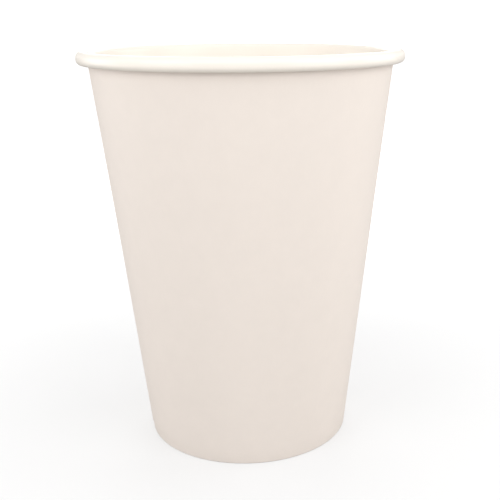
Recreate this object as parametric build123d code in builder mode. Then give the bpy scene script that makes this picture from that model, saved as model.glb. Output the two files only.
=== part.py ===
from build123d import *
import os
from math import acos, atan2, cos, degrees, hypot, sin, sqrt, tan

# A single-wall paper cup for hot drinks, in millimetres.
# The origin is the centre of the circle that the cup stands on, and +Z points up through the mouth.
# The cup has two pieces of paperboard: the sidewall, and the base disc that its hem grips.

# Driving dimensions
rim_diameter = 90.0  # across the outside of the rolled rim, which a lid fits over
cup_height = 112.0  # from the standing edge to the top of the rim
base_diameter = 59.0  # of the cone's outside, carried down to the standing edge
board = 0.35  # thickness of the coated paperboard
seal_gap = 0.05  # coating between the layers that are sealed together at the foot

curl_width = 3.25  # of the rolled rim, from the wall's inside to the rim's outside
curl_straight = 0.55  # upright stretch between the upper and the lower half of the roll
curl_gap = 0.15  # between the turns of the roll
curl_tail_turn = 110.0  # degrees that the board's end runs on under the top of the rim

fold_radius = 0.1  # inside radius of the creases at the foot
panel_height = 9.5  # of the base panel's top above the standing edge
panel_bend_radius = 0.2  # inside radius where the panel turns down into its skirt
hem_clearance = 1.65  # between the hem's cut edge and the panel's underside
skirt_clearance = 0.6  # between the skirt's cut edge and the fold below it

seam_turn = 87.0  # degrees from +Y round to the side seam, towards -X
lap_width = 7.0  # of the side seam, where the sidewall lies double
lap_ramp = 1.4  # over which the outer layer climbs onto the inner one
lap_overcut = 0.1  # by which the seam's cutting shape stands into the open

# The rolled rim is three arcs of the board's middle line. The tail runs under the upper arc.
upper_radius = (curl_width - board) / 2
lower_radius = upper_radius - (board + curl_gap) / 2
tail_radius = upper_radius - (board + curl_gap)
upper_x = rim_diameter / 2 - board / 2 - upper_radius
upper_z = cup_height - board / 2 - upper_radius
lower_z = upper_z - curl_straight
upper_centre = (upper_x, upper_z)
lower_centre = (upper_x + upper_radius - lower_radius, lower_z)

# The cone's outside runs from the base circle to where it is tangent to the roll's near side.
base_radius = base_diameter / 2
reach = upper_x - base_radius
near_radius = upper_radius - board / 2
wall_angle = acos(near_radius / hypot(reach, upper_z)) - atan2(upper_z, reach)
wall_turn = degrees(wall_angle)
wall_slice = board / cos(wall_angle)  # the wall's thickness measured level

# At the foot the layers are, from the outside in, the wall, the base disc's skirt and the hem.
layer_step = board + seal_gap
hem_depth = 2 * layer_step
hem_height = panel_height - board - hem_clearance
crease_radius = fold_radius + board / 2
crease_z = crease_radius + board / 2
bend_radius = panel_bend_radius + board / 2
bend_z = panel_height - board / 2 - bend_radius
skirt_z = board + skirt_clearance

# The side seam, measured level from the middle of the double part. Its outlines are drawn on
# planes that are turned, so that the seam is on the +Y side of each of them.
seam_plane = Plane.XY.rotated((0, 0, seam_turn))
lap_edge = lap_width / 2
ramp_foot = lap_edge + lap_ramp


def wall_radius(z):
    """Radius of the cone's outside at the height z."""
    return base_radius + z * tan(wall_angle)


def inset_x(z, depth):
    """Radius at the height z of a line that runs depth inside the cone's outside, square to it."""
    return wall_radius(z) - depth / cos(wall_angle)


# The centres of the creases and of the base disc's bend, each a radius inside its own layer
wall_crease = (inset_x(crease_z, board / 2 + crease_radius), crease_z)
hem_crease = (inset_x(crease_z, hem_depth + board / 2 - crease_radius), crease_z)
bend_centre = (inset_x(bend_z, layer_step + board / 2 + bend_radius), bend_z)


def on_circle(x, radius):
    """The point, on the plane's +Y side, of a circle about the cup's axis that lies at x."""
    return (x, sqrt(radius**2 - x**2))


def seam_outline(z):
    """Outline, at the height z, of the sidewall's outer layer where it lies over the inner one."""
    outside = wall_radius(z)
    raised = outside + wall_slice
    buried = outside - wall_slice / 2
    Polyline(
        on_circle(lap_edge, buried),
        on_circle(lap_edge, raised),
    )
    ThreePointArc(on_circle(lap_edge, raised), (0, raised), on_circle(-lap_edge, raised))
    Polyline(
        on_circle(-lap_edge, raised),
        on_circle(-ramp_foot, outside),
        on_circle(-ramp_foot, buried),
    )
    ThreePointArc(on_circle(-ramp_foot, buried), (0, buried), on_circle(lap_edge, buried))


def notch_outline(z):
    """Outline, at the height z, of the wedge that the outer layer leaves inside as it climbs."""
    outside = wall_radius(z)
    inside = outside - wall_slice
    clear = inside - lap_overcut
    Polyline(
        on_circle(-lap_edge, outside),
        on_circle(-ramp_foot, inside),
        on_circle(-ramp_foot, clear),
        on_circle(-lap_edge, clear),
        close=True,
    )


def board_arc(centre, radius, start, turn):
    """Both faces of the board where its middle line is an arc, and the four ends of the faces."""
    far = CenterArc(centre, radius + board / 2, start, turn)
    near = CenterArc(centre, radius - board / 2, start, turn)
    return (far @ 0, near @ 0, far @ 1, near @ 1)


# The side seam's outer layer, from the crease at the foot up into the roll
with BuildPart() as seam_layer:
    for level in (crease_z, lower_z):
        with BuildSketch(seam_plane.offset(level)):
            with BuildLine():
                seam_outline(level)
            make_face()
    loft(ruled=True)

# The wedge of air between the inner layer's cut edge and the outer layer that climbs onto it
with BuildPart() as seam_notch:
    for level in (panel_height, upper_z):
        with BuildSketch(seam_plane.offset(level)):
            with BuildLine():
                notch_outline(level)
            make_face()
    loft(ruled=True)

# The sidewall: rolled rim, cone and hem, turned in one section of even thickness
with BuildPart() as sidewall:
    with BuildSketch(Plane.XZ):
        with BuildLine():
            upper = board_arc(upper_centre, upper_radius, 180 - wall_turn, wall_turn - 180)
            lower = board_arc(lower_centre, lower_radius, 0, -180)
            tail = board_arc(upper_centre, tail_radius, 180, -curl_tail_turn)
            outer_crease = board_arc(wall_crease, crease_radius, -wall_turn, wall_turn - 90)
            inner_crease = board_arc(hem_crease, crease_radius, -90, -90 - wall_turn)
            hem_back = (inset_x(hem_height, hem_depth), hem_height)
            hem_front = (inset_x(hem_height, hem_depth + board), hem_height)
            # The rolled rim
            Line(upper[2], lower[0])
            Line(upper[3], lower[1])
            Line(lower[2], tail[0])
            Line(lower[3], tail[1])
            Line(tail[2], tail[3])
            # The cone
            Line(upper[0], outer_crease[1])
            Line(upper[1], outer_crease[0])
            # The standing flat and the hem
            Line(outer_crease[2], inner_crease[0])
            Line(outer_crease[3], inner_crease[1])
            Line(inner_crease[2], hem_front)
            Line(inner_crease[3], hem_back)
            Line(hem_front, hem_back)
        make_face()
    revolve(axis=Axis.Z)
    add(seam_layer.part)
    add(seam_notch.part, mode=Mode.SUBTRACT)

# The base disc: a flat panel whose skirt stands between the cone and the hem
with BuildPart() as base_disc:
    with BuildSketch(Plane.XZ):
        with BuildLine():
            bend = board_arc(bend_centre, bend_radius, 90, -90 - wall_turn)
            skirt_front = (inset_x(skirt_z, layer_step), skirt_z)
            skirt_back = (inset_x(skirt_z, layer_step + board), skirt_z)
            panel_top = (0, panel_height)
            panel_underside = (0, panel_height - board)
            Line(bend[0], panel_top)
            Line(panel_top, panel_underside)
            Line(panel_underside, bend[1])
            Line(bend[2], skirt_front)
            Line(bend[3], skirt_back)
            Line(skirt_front, skirt_back)
        make_face()
    revolve(axis=Axis.Z)

sidewall.part.label = "sidewall"
base_disc.part.label = "base_disc"

os.makedirs("parts", exist_ok=True)
export_step(sidewall.part, "parts/sidewall.step")
export_step(base_disc.part, "parts/base_disc.step")
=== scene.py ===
import math

import bpy
import numpy as np
from mathutils import Matrix, Vector


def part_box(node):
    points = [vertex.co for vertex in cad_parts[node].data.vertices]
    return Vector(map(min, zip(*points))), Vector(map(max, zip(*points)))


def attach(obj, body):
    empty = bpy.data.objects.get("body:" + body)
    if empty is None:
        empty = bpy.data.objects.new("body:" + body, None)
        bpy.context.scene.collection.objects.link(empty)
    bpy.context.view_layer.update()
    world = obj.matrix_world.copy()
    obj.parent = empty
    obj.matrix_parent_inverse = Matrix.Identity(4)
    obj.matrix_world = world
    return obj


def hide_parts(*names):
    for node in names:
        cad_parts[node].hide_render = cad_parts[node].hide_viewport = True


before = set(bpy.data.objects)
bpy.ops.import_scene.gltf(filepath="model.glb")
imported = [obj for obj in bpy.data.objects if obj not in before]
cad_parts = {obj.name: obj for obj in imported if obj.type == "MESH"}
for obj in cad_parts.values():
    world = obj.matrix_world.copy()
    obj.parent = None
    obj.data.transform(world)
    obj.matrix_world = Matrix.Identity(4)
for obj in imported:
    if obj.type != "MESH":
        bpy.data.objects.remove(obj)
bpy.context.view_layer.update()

# A paper cup for hot drinks, in metres. The construction model gives its rim, its height and its
# pieces.
# Each piece of paperboard is meshed as the real sheet is folded: two faces and its cut edges.

wall_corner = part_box("sidewall")[1]

MM = 0.001
RIM_RADIUS = wall_corner[0]
CUP_HEIGHT = wall_corner[2]

# The paperboard and its folds, as in the construction model
BASE_RADIUS = 29.5 * MM
BOARD = 0.35 * MM
SEAL_GAP = 0.05 * MM
CURL_WIDTH = 3.25 * MM
CURL_STRAIGHT = 0.55 * MM
CURL_GAP = 0.15 * MM
CURL_TAIL_TURN = math.radians(110)
FOLD_RADIUS = 0.1 * MM
HEM_HEIGHT = 7.5 * MM
PANEL_HEIGHT = 9.5 * MM
PANEL_BEND_RADIUS = 0.2 * MM
SKIRT_BOTTOM = BOARD + 0.6 * MM
SEAM_TURN = math.radians(87)  # from +Y round to the side seam, towards -X
LAP_EDGE = 3.5 * MM
LAP_RAMP = 1.4 * MM

# What follows from them: the roll's three arcs, the cone's slope and the layers at the foot
UPPER_RADIUS = (CURL_WIDTH - BOARD) / 2
LOWER_RADIUS = UPPER_RADIUS - (BOARD + CURL_GAP) / 2
TAIL_RADIUS = UPPER_RADIUS - (BOARD + CURL_GAP)
UPPER_R = RIM_RADIUS - BOARD / 2 - UPPER_RADIUS
UPPER_Z = CUP_HEIGHT - BOARD / 2 - UPPER_RADIUS
REACH = UPPER_R - BASE_RADIUS
SLOPE = math.acos((UPPER_RADIUS - BOARD / 2) / math.hypot(REACH, UPPER_Z)) - math.atan2(
    UPPER_Z, REACH
)
LAYER_STEP = BOARD + SEAL_GAP
HEM_DEPTH = 2 * LAYER_STEP
CREASE_RADIUS = FOLD_RADIUS + BOARD / 2
BEND_RADIUS = PANEL_BEND_RADIUS + BOARD / 2

# Detail that only the eye needs
UPRIGHT = 0.9  # least sideways share of the normal of a face that counts as upright
LEVEL = 0.99  # least share along Z of the normal of a face that counts as level
GLUE = 0.01 * MM  # between the two layers of the side seam
EDGE_CHAMFER = 0.05 * MM  # that the cutting die leaves on the board's edges
EDGE_HALF = 0.36 * BOARD  # half thickness left at a chamfered edge
SMOOTH_ANGLE = math.radians(40)  # below which two faces are shaded as one
RIB_COUNT = 120  # pressed into the hem by the knurling wheel
RIB_DEPTH = 0.07 * MM
RIB_LOW, RIB_HIGH, RIB_FADE = 1.2 * MM, 6.9 * MM, 0.8 * MM
COLUMNS_PER_RIB = 4
SWELL = 0.05 * MM  # how far the wall strays from a true cone
SWELL_LOW, SWELL_HIGH, SWELL_FADE = 14 * MM, 102 * MM, 12 * MM
SWELL_WAVES = ((2, 1.0, 0.7, 0), (3, 0.6, 2.1, 3), (7, 0.35, 0, 5))  # waves, share, start, lean
LAP_INSET = 0.8 * MM  # from the seam's edges to the evenly spaced columns between them
LAP_COLUMNS = 8
RAMP_COLUMNS = 7
PANEL_CENTRE = 0.4 * MM  # radius of the small ring that is filled in at the panel's middle
PANEL_DOME = 0.3 * MM
DOME_FADE = 3 * MM  # over which the dome and the bead end towards the bend
BEAD_RADIUS, BEAD_WIDTH, BEAD_HEIGHT = 25.6 * MM, 1.1 * MM, 0.12 * MM
PLEAT_COUNT = 96
PLEAT_DEPTH = 0.06 * MM
PLEAT_FADE = 2 * MM  # over which the pleats begin on the panel
PLEAT_LOW, PLEAT_HIGH = 3 * MM, 7 * MM  # heights between which they grow up the skirt
PLEAT_LAG, PLEAT_LAGS = 1.3, 5  # radians that the pleats lead or lag, and how often round
PLEAT_UNEVEN, PLEAT_UNEVENS = 0.4, 11  # share by which their depth varies, and how often round
DISC_COLUMNS = 4 * PLEAT_COUNT

# Steps along each stretch of the sidewall's and the base disc's sections
HEM_STEPS, CREASE_STEPS, WALL_STEPS = 7, 6, 24
UPPER_STEPS, LOWER_STEPS, TAIL_STEPS = 18, 14, 7
PANEL_STEPS, BEND_STEPS, SKIRT_STEPS = 34, 8, 6

# Material slots of a sheet's faces
OUTSIDE, INSIDE, CUT_EDGE = 0, 1, 2

# The paperboard's surface: the size of each feature and how deep it is pressed or stands
CLOUD_SIZE, CLOUD_DEPTH = 5 * MM, 0.05 * MM
FIBRE_SIZE, FIBRE_DEPTH = 0.55 * MM, 0.03 * MM
PORE_SIZE, PORE_DEPTH = 0.18 * MM, 0.01 * MM
GRAIN_STRETCH = (1, 1, 0.3)  # the fibres lie along the cup's height
BOARD_WHITE = (0.84, 0.76, 0.695)
COATED_WHITE = (0.92, 0.86, 0.78)
EDGE_CREAM = (0.8, 0.71, 0.62)

# The studio
FLOOR_RINGS = (0.001, 0.1, 0.4, 1.5, 4.0)  # their radii
FLOOR_COLUMNS = 96
FLOOR_GRAIN = 60 * MM
FLOOR_GREY = (0.36, 0.36, 0.36)
FLOOR_GLOW = (0.03, 0.35, 0.52, 0.88)  # from and to the distances, and its strength at each
TENT_LIGHT = 0.62  # what the white surroundings give
TENT_SEEN = 1.1  # how bright they look
SOFTBOXES = (  # name, place, width, height and watts
    ("front", (0, -0.45, 0.27), 0.3, 0.15, 0.34),
    ("high_left", (-0.34, -0.27, 0.32), 0.3, 0.2, 0.43),
    ("high_right", (0.34, -0.27, 0.32), 0.3, 0.2, 0.38),
    ("low_left", (-0.36, -0.3, 0.14), 0.3, 0.2, 0.38),
    ("low_right", (0.36, -0.3, 0.14), 0.3, 0.2, 0.5),
    ("side_left", (-0.5, 0.12, 0.12), 0.3, 0.2, 0.5),
    ("side_right", (0.5, 0.12, 0.22), 0.3, 0.3, 0.7),
    ("over", (0, -0.1, 0.42), 0.3, 0.3, 0.12),
    ("back", (0, 0.5, 0.3), 0.4, 0.2, 0.75),
)
AIM = (0, 0, 0.7 * CUP_HEIGHT)  # the point that the softboxes face


def smooth(x):
    """0 below 0, 1 above 1, and an S-curve between."""
    x = np.clip(x, 0.0, 1.0)
    return x * x * (3 - 2 * x)


def inset_r(z, depth):
    """Radius, at the height z, of a line that runs depth inside the cone's outside."""
    return BASE_RADIUS + z * math.tan(SLOPE) - depth / math.cos(SLOPE)


class Path:
    """The board's middle line in the plane of radius and height, for each column round the cup.

    A row holds, for every column, the radius, the height and the outside face's normal."""

    def __init__(self, columns):
        self.columns = columns
        self.rows = []

    def put(self, r, z, normal_r, normal_z):
        row = [np.broadcast_to(v, self.columns) for v in (r, z, normal_r, normal_z)]
        self.rows.append(row)

    def arc(self, r, z, radius, start, turn, steps):
        """Steps along an arc. Its outside normal points away from the centre on a left turn."""
        side = math.copysign(1, turn)
        for i in range(steps + 1):
            angle = start + turn * i / steps
            c, s = math.cos(angle), math.sin(angle)
            self.put(r + radius * c, z + radius * s, side * c, side * s)

    def line_to(self, r, z, steps):
        """Straight rows between the last row and the point given, leaving out both ends."""
        r0, z0, normal_r, normal_z = self.rows[-1]
        for i in range(1, steps):
            w = i / steps
            self.put(r0 + (r - r0) * w, z0 + (z - z0) * w, normal_r, normal_z)

    def table(self):
        return np.array(self.rows).transpose(1, 0, 2)


def sidewall_path(double):
    """Middle line of the sidewall from the hem's cut edge to the roll's, where double says how far
    the seam's second layer needs room: 0 is a single board and 1 is both layers."""
    path = Path(len(double))
    lift = double * (BOARD + GLUE)
    crease_z = CREASE_RADIUS + BOARD / 2 + lift
    hem_r = inset_r(crease_z, HEM_DEPTH + BOARD / 2 - CREASE_RADIUS)
    wall_r = inset_r(crease_z, BOARD / 2 + CREASE_RADIUS)
    hem_start = crease_z + CREASE_RADIUS * math.sin(math.pi - SLOPE)
    lower_radius = LOWER_RADIUS - lift / 2
    lower_r = UPPER_R + UPPER_RADIUS - lower_radius
    lower_z = UPPER_Z - CURL_STRAIGHT
    tail_radius = TAIL_RADIUS - lift

    top_r = inset_r(HEM_HEIGHT, HEM_DEPTH + BOARD / 2)
    normal = (-math.cos(SLOPE), math.sin(SLOPE))
    path.put(top_r, HEM_HEIGHT, *normal)
    chamfer = HEM_HEIGHT - EDGE_CHAMFER
    path.put(inset_r(chamfer, HEM_DEPTH + BOARD / 2), chamfer, *normal)
    path.line_to(inset_r(hem_start, HEM_DEPTH + BOARD / 2), hem_start, HEM_STEPS)
    turn = math.pi / 2
    path.arc(hem_r, crease_z, CREASE_RADIUS, math.pi - SLOPE, turn + SLOPE, CREASE_STEPS)
    path.arc(wall_r, crease_z, CREASE_RADIUS, -turn, turn - SLOPE, CREASE_STEPS)
    wall_top_r = UPPER_R - UPPER_RADIUS * math.cos(SLOPE)
    wall_top_z = UPPER_Z + UPPER_RADIUS * math.sin(SLOPE)
    path.line_to(wall_top_r, wall_top_z, WALL_STEPS)
    start = math.pi - SLOPE
    path.arc(UPPER_R, UPPER_Z, UPPER_RADIUS, start, -start, UPPER_STEPS)
    path.arc(lower_r, lower_z, lower_radius, 0, -math.pi, LOWER_STEPS)
    path.arc(UPPER_R, UPPER_Z, tail_radius, math.pi, -CURL_TAIL_TURN, TAIL_STEPS)
    return path.table()


def seam_columns():
    """Where the columns of the sidewall stand, from its inner cut edge once round to its outer one.

    A column lies at turn + along / radius from the seam's middle, so the lap keeps its width all
    the way up. double is how far both layers are there, lift how far the board has climbed, and
    rib its knurling."""
    reach = LAP_EDGE + LAP_RAMP
    width = 2 * LAP_EDGE
    middle = np.linspace(LAP_INSET, width - LAP_INSET, LAP_COLUMNS)
    lap = np.array([0, EDGE_CHAMFER, *middle, width - EDGE_CHAMFER, width]) - LAP_EDGE
    ramp = np.linspace(0, 1, RAMP_COLUMNS + 2)[1:-1]
    free = np.arange(RIB_COUNT * COLUMNS_PER_RIB + 1)
    share = free / free[-1]
    parts = [
        (0 * lap, lap, 0 * lap + 1, 0 * lap, 0 * lap),
        (0 * ramp, LAP_EDGE + LAP_RAMP * ramp, 1 - smooth(ramp), 0 * ramp, 0 * ramp),
        (
            2 * math.pi * share,
            (1 - 2 * share) * reach,
            0 * share,
            0 * share,
            0.5 - 0.5 * np.cos(2 * math.pi * free / COLUMNS_PER_RIB),
        ),
        (
            0 * ramp + 2 * math.pi,
            LAP_RAMP * ramp - reach,
            smooth(ramp),
            smooth(ramp),
            0 * ramp,
        ),
        (0 * lap + 2 * math.pi, lap, 0 * lap + 1, 0 * lap + 1, 0 * lap),
    ]
    return [np.concatenate(column) for column in zip(*parts)]


def sheet_mesh(name, points_out, points_in, closed):
    """A mesh of a folded sheet: its outside face, its inside face and the cut edges between them.

    The points are arrays of rows by columns. A closed sheet joins its last column to its first,
    and its first row is a small ring that is filled in on both faces."""
    rows, columns = points_out.shape[:2]
    index = np.arange(rows * columns).reshape(rows, columns)
    if closed:
        index = np.hstack([index, index[:, :1]])
    out, inn = index, index + rows * columns
    quads, kinds, caps = [], [], []

    def grid(a, b, c, d, kind):
        block = np.stack([a, b, c, d], axis=-1).reshape(-1, 4)
        quads.append(block)
        kinds.append(np.full(len(block), kind))

    grid(out[:-1, :-1], out[1:, :-1], out[1:, 1:], out[:-1, 1:], OUTSIDE)
    grid(inn[:-1, :-1], inn[:-1, 1:], inn[1:, 1:], inn[1:, :-1], INSIDE)
    grid(out[-1, 1:], out[-1, :-1], inn[-1, :-1], inn[-1, 1:], CUT_EDGE)
    if closed:
        caps = [out[0, :-1].tolist(), inn[0, -2::-1].tolist()]
        kinds.append(np.array([OUTSIDE, INSIDE]))
    else:
        grid(out[0, :-1], out[0, 1:], inn[0, 1:], inn[0, :-1], CUT_EDGE)
        grid(out[1:, 0], out[:-1, 0], inn[:-1, 0], inn[1:, 0], CUT_EDGE)
        grid(out[:-1, -1], out[1:, -1], inn[1:, -1], inn[:-1, -1], CUT_EDGE)
    mesh = bpy.data.meshes.new(name)
    vertices = np.concatenate([points_out.reshape(-1, 3), points_in.reshape(-1, 3)])
    mesh.from_pydata(vertices.tolist(), [], np.concatenate(quads).tolist() + caps)
    mesh.polygons.foreach_set("material_index", np.concatenate(kinds).astype(np.int32))
    return mesh


def add_piece(mesh, materials, body, node):
    """The object of a mesh, smooth apart from its cut edges, in place of a construction node."""
    for material in materials:
        mesh.materials.append(material)
    mesh.shade_smooth()
    mesh.set_sharp_from_angle(angle=SMOOTH_ANGLE)
    mesh.validate()
    piece = bpy.data.objects.new(mesh.name, mesh)
    bpy.context.scene.collection.objects.link(piece)
    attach(piece, body)
    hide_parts(node)
    return piece


def turned(r, z, angle):
    """Points at a radius, a height and an angle, which runs from +Y towards +X."""
    return np.stack([r * np.sin(angle), r * np.cos(angle), z + 0 * angle], axis=-1)


def window(z, low, high, fade):
    """1 between low and high, fading to 0 at both ends over fade."""
    return smooth((z - low) / fade) * smooth((high - z) / fade)


def make_sidewall(materials):
    turn, along, double, lift, rib = seam_columns()
    r, z, normal_r, normal_z = sidewall_path(double)
    angle = turn + along / r - SEAM_TURN
    half = np.full_like(r, BOARD / 2)
    half[[0, -1], :] = EDGE_HALF
    half[:, [0, -1]] = EDGE_HALF
    on_wall = window(z, SWELL_LOW, SWELL_HIGH, SWELL_FADE) * (normal_r > UPRIGHT)
    height = z / CUP_HEIGHT
    swell = sum(
        share * np.sin(waves * angle + start + lean * height)
        for waves, share, start, lean in SWELL_WAVES
    )
    on_hem = window(z, RIB_LOW, RIB_HIGH, RIB_FADE) * (normal_r < -UPRIGHT)
    base = lift * (BOARD + GLUE) + SWELL * on_wall * swell + RIB_DEPTH * on_hem * rib
    faces = []
    for side in (1, -1):
        depth = base + side * half
        faces.append(turned(r + depth * normal_r, z + depth * normal_z, angle))
    mesh = sheet_mesh("cup_sidewall", *faces, closed=False)
    return add_piece(mesh, materials, "root", "sidewall")


def make_base(materials):
    columns = DISC_COLUMNS
    path = Path(columns)
    bend_z = PANEL_HEIGHT - BOARD / 2 - BEND_RADIUS
    bend_r = inset_r(bend_z, LAYER_STEP + BOARD / 2 + BEND_RADIUS)
    skirt_depth = LAYER_STEP + BOARD / 2
    path.put(PANEL_CENTRE, PANEL_HEIGHT - BOARD / 2, 0, -1)
    path.line_to(bend_r, PANEL_HEIGHT - BOARD / 2, PANEL_STEPS)
    turn = math.pi / 2
    path.arc(bend_r, bend_z, BEND_RADIUS, turn, -turn - SLOPE, BEND_STEPS)
    path.line_to(inset_r(SKIRT_BOTTOM, skirt_depth), SKIRT_BOTTOM, SKIRT_STEPS)
    normal = (-math.cos(SLOPE), math.sin(SLOPE))
    chamfer = SKIRT_BOTTOM + EDGE_CHAMFER
    path.put(inset_r(chamfer, skirt_depth), chamfer, *normal)
    path.put(inset_r(SKIRT_BOTTOM, skirt_depth), SKIRT_BOTTOM, *normal)
    r, z, normal_r, normal_z = path.table()
    angle = np.broadcast_to(2 * math.pi * np.arange(columns) / columns, r.shape)
    half = np.full_like(r, BOARD / 2)
    half[-1, :] = EDGE_HALF
    on_panel = smooth((bend_r - r) / DOME_FADE) * (normal_z < -LEVEL)
    dome = PANEL_DOME * (1 - (r / bend_r) ** 2) * on_panel
    bead = BEAD_HEIGHT * np.exp(-(((r - BEAD_RADIUS) / BEAD_WIDTH) ** 2)) * on_panel
    pleat = 0.5 + 0.5 * np.sin(PLEAT_COUNT * angle + PLEAT_LAG * np.sin(PLEAT_LAGS * angle))
    uneven = 1 - PLEAT_UNEVEN + PLEAT_UNEVEN * np.sin(PLEAT_UNEVENS * angle + 0.5)
    pleat = pleat * uneven * PLEAT_DEPTH
    past_panel = smooth((r - bend_r + PLEAT_FADE) / PLEAT_FADE)
    near_bend = past_panel * smooth((z - PLEAT_LOW) / (PLEAT_HIGH - PLEAT_LOW))
    base = pleat * near_bend - dome - bead
    faces = []
    for side in (1, -1):
        depth = base + side * half
        faces.append(turned(r + depth * normal_r, z + depth * normal_z, angle))
    mesh = sheet_mesh("cup_base", *faces, closed=True)
    return add_piece(mesh, materials, "root", "base_disc")


class Nodes:
    """Short names for building a material's node tree."""

    NOISE_RANGE = (0.25, 0.75)  # between which nearly all of a noise's values lie
    COLOUR_INPUTS = (0, 6, 7)  # a mix node's factor and its two colours
    COLOUR_OUTPUT = 2

    def __init__(self, name):
        self.material = bpy.data.materials.new(name)
        self.material.use_nodes = True
        self.tree = self.material.node_tree
        self.shader = self.tree.nodes["Principled BSDF"]

    def add(self, kind, **values):
        """A node of that kind. Values name its properties, or its inputs where it has no property."""
        node = self.tree.nodes.new(kind)
        for key, value in values.items():
            if hasattr(node, key):
                setattr(node, key, value)
            else:
                node.inputs[key.replace("_", " ")].default_value = value
        return node

    def link(self, source, target):
        self.tree.links.new(source, target)

    def place(self, stretch=(1, 1, 1)):
        """The point's place on the cup, stretched."""
        where = self.add("ShaderNodeTexCoord").outputs["Object"]
        mapping = self.add("ShaderNodeMapping", Scale=stretch)
        self.link(where, mapping.inputs["Vector"])
        return mapping.outputs["Vector"]

    def noise(self, vector, feature, detail, roughness=0.5):
        """Noise whose largest features are about that many metres across."""
        node = self.add("ShaderNodeTexNoise", Scale=1 / feature, Detail=detail, Roughness=roughness)
        self.link(vector, node.inputs["Vector"])
        return node.outputs["Fac"]

    def spread(self, value, low, high):
        """A noise value, which keeps near its middle, spread out between low and high."""
        node = self.add("ShaderNodeMapRange", To_Min=low, To_Max=high)
        node.inputs["From Min"].default_value = self.NOISE_RANGE[0]
        node.inputs["From Max"].default_value = self.NOISE_RANGE[1]
        self.link(value, node.inputs["Value"])
        return node.outputs["Result"]

    def mix(self, factor, a, b, blend="MIX"):
        """A mix of two colours. Each of the three is a value or a node's output."""
        node = self.add("ShaderNodeMix", data_type="RGBA", blend_type=blend)
        for socket, value in zip(self.COLOUR_INPUTS, (factor, a, b)):
            if isinstance(value, bpy.types.NodeSocket):
                self.link(value, node.inputs[socket])
            else:
                node.inputs[socket].default_value = value
        return node.outputs[self.COLOUR_OUTPUT]

    def bump(self, height, distance, strength, before=None):
        node = self.add("ShaderNodeBump", Strength=strength, Distance=distance)
        self.link(height, node.inputs["Height"])
        if before is not None:
            self.link(before, node.inputs["Normal"])
        return node.outputs["Normal"]


def shade(colour, by):
    return (*[c * by for c in colour], 1)


def paperboard(name, colour, mottle, rough, smoothness, coat=0.0):
    """Bleached paperboard: cloudy formation, fibres along the grain, and a calendered surface.

    mottle is how far the colour strays, rough the roughness at its least and most, and
    smoothness how flat the surface was pressed, from 0 to 1."""
    nodes = Nodes(name)
    place = nodes.place()
    along_grain = nodes.place(GRAIN_STRETCH)
    clouds = nodes.noise(place, CLOUD_SIZE, 4, 0.6)
    fibres = nodes.noise(along_grain, FIBRE_SIZE, 3, 0.65)
    pores = nodes.noise(place, PORE_SIZE, 2)
    cloudy = nodes.mix(
        nodes.spread(clouds, 0, 1), shade(colour, 1 - mottle), shade(colour, 1 + mottle)
    )
    fibrous = nodes.mix(
        nodes.spread(fibres, 0, 1), shade((1, 1, 1), 1 - mottle), shade((1, 1, 1), 1)
    )
    nodes.link(nodes.mix(1.0, cloudy, fibrous, "MULTIPLY"), nodes.shader.inputs["Base Color"])
    nodes.link(nodes.spread(fibres, *rough), nodes.shader.inputs["Roughness"])
    relief = 1 - smoothness
    normal = nodes.bump(clouds, CLOUD_DEPTH, 0.5 * relief)
    normal = nodes.bump(fibres, FIBRE_DEPTH, 0.9 * relief, normal)
    normal = nodes.bump(pores, PORE_DEPTH, 0.8 * relief, normal)
    nodes.link(normal, nodes.shader.inputs["Normal"])
    nodes.shader.inputs["IOR"].default_value = 1.5
    if coat:
        nodes.shader.inputs["Coat Weight"].default_value = coat
        nodes.shader.inputs["Coat Roughness"].default_value = 0.25
    return nodes.material


def plain_floor():
    """Pale paper on a light table, which grows to white away from the cup's foot.

    Its glow is seen but lights nothing, so that it takes no shade from the cup."""
    nodes = Nodes("floor_paint")
    place = nodes.place()
    grain = nodes.noise(place, FLOOR_GRAIN, 3)
    colour = nodes.mix(nodes.spread(grain, 0, 1), shade(FLOOR_GREY, 0.98), shade(FLOOR_GREY, 1))
    nodes.link(colour, nodes.shader.inputs["Base Color"])
    nodes.shader.inputs["Roughness"].default_value = 0.8
    distance = nodes.add("ShaderNodeVectorMath", operation="LENGTH")
    nodes.link(place, distance.inputs[0])
    glow = nodes.add("ShaderNodeMapRange", interpolation_type="SMOOTHSTEP")
    for key, value in zip(("From Min", "From Max", "To Min", "To Max"), FLOOR_GLOW):
        glow.inputs[key].default_value = value
    nodes.link(distance.outputs["Value"], glow.inputs["Value"])
    seen = nodes.add("ShaderNodeMath", operation="MULTIPLY")
    nodes.link(glow.outputs["Result"], seen.inputs[0])
    nodes.link(nodes.add("ShaderNodeLightPath").outputs["Is Camera Ray"], seen.inputs[1])
    nodes.link(seen.outputs["Value"], nodes.shader.inputs["Emission Strength"])
    nodes.shader.inputs["Emission Color"].default_value = (1, 1, 1, 1)
    return nodes.material


def make_floor():
    """A flat round floor, filled in rings that grow with their distance from the cup."""
    angle = 2 * math.pi * np.arange(FLOOR_COLUMNS) / FLOOR_COLUMNS
    points = [turned(np.full(FLOOR_COLUMNS, r), 0.0, angle) for r in FLOOR_RINGS]
    index = np.arange(len(points) * FLOOR_COLUMNS).reshape(len(points), FLOOR_COLUMNS)
    index = np.hstack([index, index[:, :1]])
    quads = np.stack([index[:-1, :-1], index[:-1, 1:], index[1:, 1:], index[1:, :-1]], axis=-1)
    faces = quads.reshape(-1, 4).tolist() + [index[0, :-1].tolist()]
    mesh = bpy.data.meshes.new("floor")
    mesh.from_pydata(np.concatenate(points).tolist(), [], faces)
    mesh.materials.append(plain_floor())
    floor = bpy.data.objects.new("floor", mesh)
    bpy.context.scene.collection.objects.link(floor)


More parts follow.
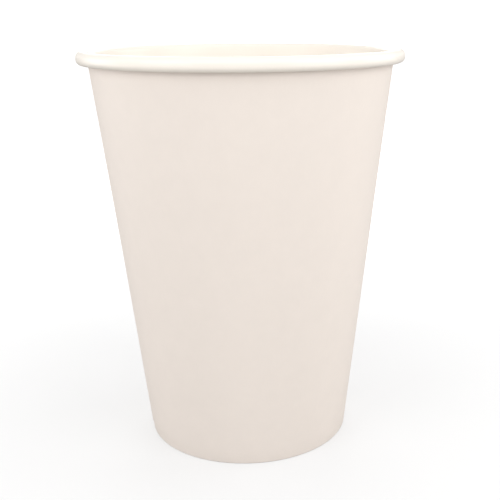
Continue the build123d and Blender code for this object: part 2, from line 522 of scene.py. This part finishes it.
def add_softbox(name, place, width, height, power):
    """A soft light that faces the cup."""
    light = bpy.data.lights.new(name, "AREA")
    light.shape = "RECTANGLE"
    light.size = width
    light.size_y = height
    light.energy = power
    lamp = bpy.data.objects.new(name, light)
    lamp.location = place
    lamp.rotation_mode = "QUATERNION"
    aim = Vector(AIM) - Vector(place)
    lamp.rotation_quaternion = aim.to_track_quat("-Z", "Y")
    bpy.context.scene.collection.objects.link(lamp)


def light_studio():
    """A white tent of even light, with softboxes all round the cup and one over it."""
    scene = bpy.context.scene
    scene.view_settings.view_transform = "Standard"
    scene.world = bpy.data.worlds.new("studio")
    scene.world.use_nodes = True
    tree = scene.world.node_tree
    seen = tree.nodes.new("ShaderNodeLightPath").outputs["Is Camera Ray"]
    strength = tree.nodes.new("ShaderNodeMapRange")
    strength.inputs["To Min"].default_value = TENT_LIGHT
    strength.inputs["To Max"].default_value = TENT_SEEN
    tree.links.new(seen, strength.inputs["Value"])
    tree.links.new(strength.outputs["Result"], tree.nodes["Background"].inputs["Strength"])
    tree.nodes["Background"].inputs["Color"].default_value = (1, 1, 1, 1)
    for name, place, width, height, power in SOFTBOXES:
        add_softbox(name, place, width, height, power)


def place_camera():
    """A camera close in front of the cup and a little above its rim, tipped down."""
    distance, height = 236.7 * MM, 121.5 * MM
    yaw, pitch, roll = 0.0552, 0.2788, 0.006
    sensor_width = 36.0  # millimetres, as the camera's own sizes are
    focal_share = 1.657  # focal length over the picture's width
    camera_data = bpy.data.cameras.new("camera")
    camera_data.sensor_width = sensor_width
    camera_data.lens = sensor_width * focal_share
    camera_data.shift_x = -0.08  # the lens looks past the cup's right side
    camera_data.clip_start = 10 * MM
    camera = bpy.data.objects.new("camera", camera_data)
    level = Vector((math.cos(yaw), -math.sin(yaw), 0))
    ahead = Vector((math.sin(yaw), math.cos(yaw), 0))
    forward = ahead * math.cos(pitch) - Vector((0, 0, math.sin(pitch)))
    up = level.cross(forward)
    right = level * math.cos(roll) - up * math.sin(roll)
    up = right.cross(forward)
    turn = Matrix((right, up, -forward)).transposed()
    camera.matrix_world = Matrix.Translation((0, -distance, height)) @ turn.to_4x4()
    bpy.context.scene.collection.objects.link(camera)
    bpy.context.scene.camera = camera


outside = paperboard("board_outside", BOARD_WHITE, 0.012, (0.5, 0.62), 0.5)
inside = paperboard("board_coated", COATED_WHITE, 0.008, (0.34, 0.42), 0.8, coat=0.2)
cut_edge = paperboard("board_cut_edge", EDGE_CREAM, 0.06, (0.8, 0.95), 0.0)
make_sidewall((outside, inside, cut_edge))
make_base((outside, inside, cut_edge))
make_floor()
light_studio()
place_camera()
